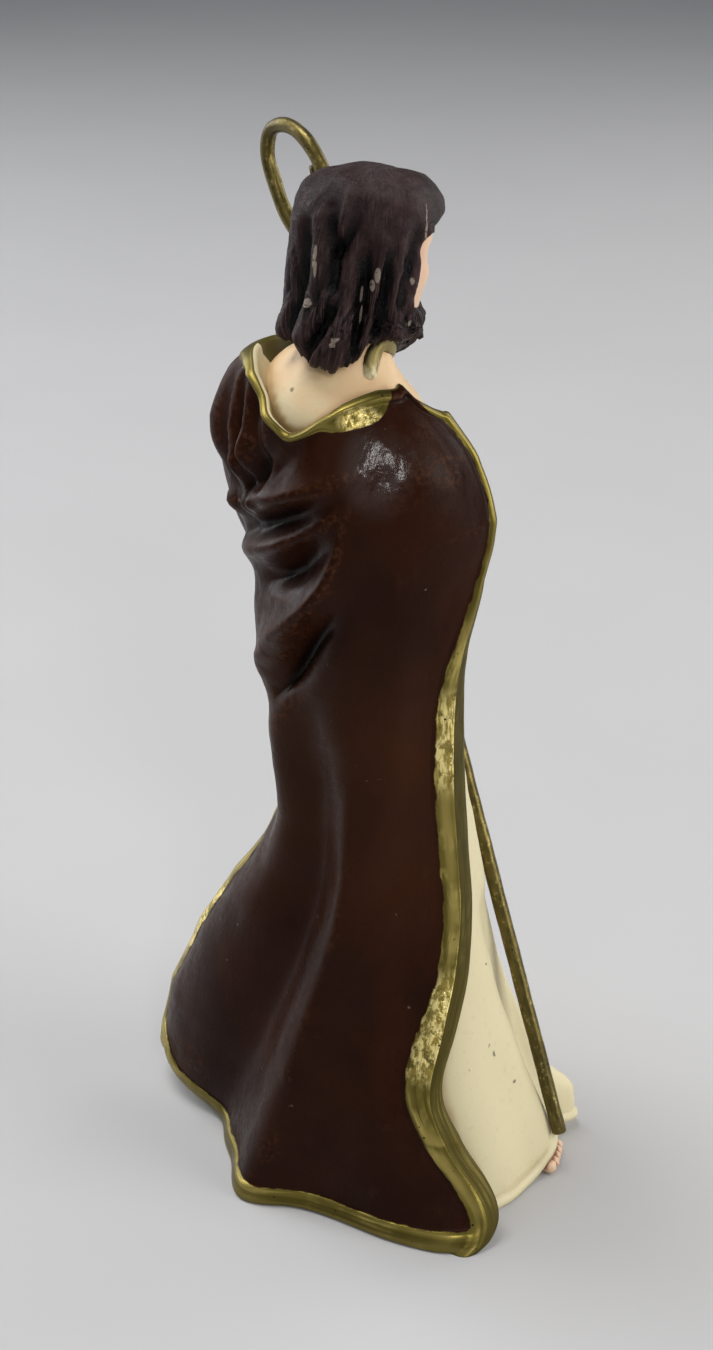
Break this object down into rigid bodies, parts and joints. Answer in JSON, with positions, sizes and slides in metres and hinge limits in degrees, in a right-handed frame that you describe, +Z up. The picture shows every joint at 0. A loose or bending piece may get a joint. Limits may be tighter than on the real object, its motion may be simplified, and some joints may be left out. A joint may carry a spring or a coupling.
{
  "type": "saint figurine with crook",
  "caption": "Painted cast figurine of a bearded saint in a long tunic and a trailing gold-hemmed mantle, gripping a bent-wire crook; it stands on its flat underside.",
  "frame": {"origin": "centre of the bounding box's bottom face, on the table", "axes": "+Z up, the figure faces -Y, its right hand is towards -X and its left towards +X"},
  "size_m": [0.07, 0.0458, 0.1284],
  "materials": {
    "painted_resin": "cast resin, hand painted: dark red-brown satin mantle, antique gold hem, cream tunic, dark brown hair, flesh skin",
    "gold_wire": "bent steel wire in antique gold paint"
  },
  "bodies": {
    "root": {"figure": "painted_resin", "crook_staff": "gold_wire"}
  },
  "joints": []
}
